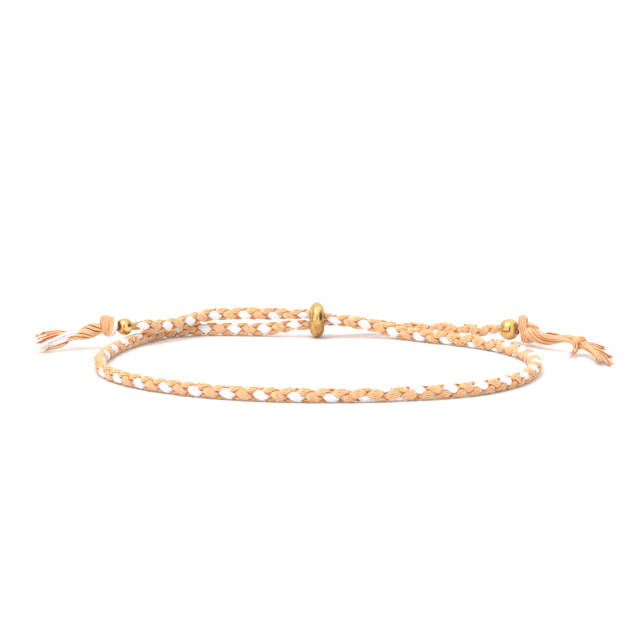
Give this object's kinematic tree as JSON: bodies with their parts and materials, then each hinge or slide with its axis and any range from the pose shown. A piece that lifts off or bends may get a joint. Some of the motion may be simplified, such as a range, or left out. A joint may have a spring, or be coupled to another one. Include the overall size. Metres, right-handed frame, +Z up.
{
  "type": "braided bracelet",
  "caption": "Adjustable braided cotton bracelet: the cord's ends run in opposite ways through a brass slider and finish in brass beads, knots and frayed tails.",
  "frame": {"origin": "on the surface that the bracelet lies on, under the centre of its bounding box", "axes": "+X from the left free end to the right one, the bracelet's longest way; +Y from the front of the wrist loop to the slider at the back; +Z up, its shortest way"},
  "size_m": [0.0804, 0.0496, 0.0051],
  "materials": {
    "apricot_yarn": "matte stranded cotton",
    "white_yarn": "matte stranded cotton",
    "brass": "polished, a little tarnished"
  },
  "bodies": {
    "root": {"apricot_strand_1": "apricot_yarn", "apricot_strand_2": "apricot_yarn", "apricot_strand_3": "apricot_yarn", "white_strand": "white_yarn", "brass_slider": "brass", "stopper_bead_left": "brass", "stopper_bead_right": "brass", "knot_left": "apricot_yarn", "knot_right": "apricot_yarn", "free_end_left": "apricot_yarn", "free_end_right": "apricot_yarn"}
  },
  "joints": []
}
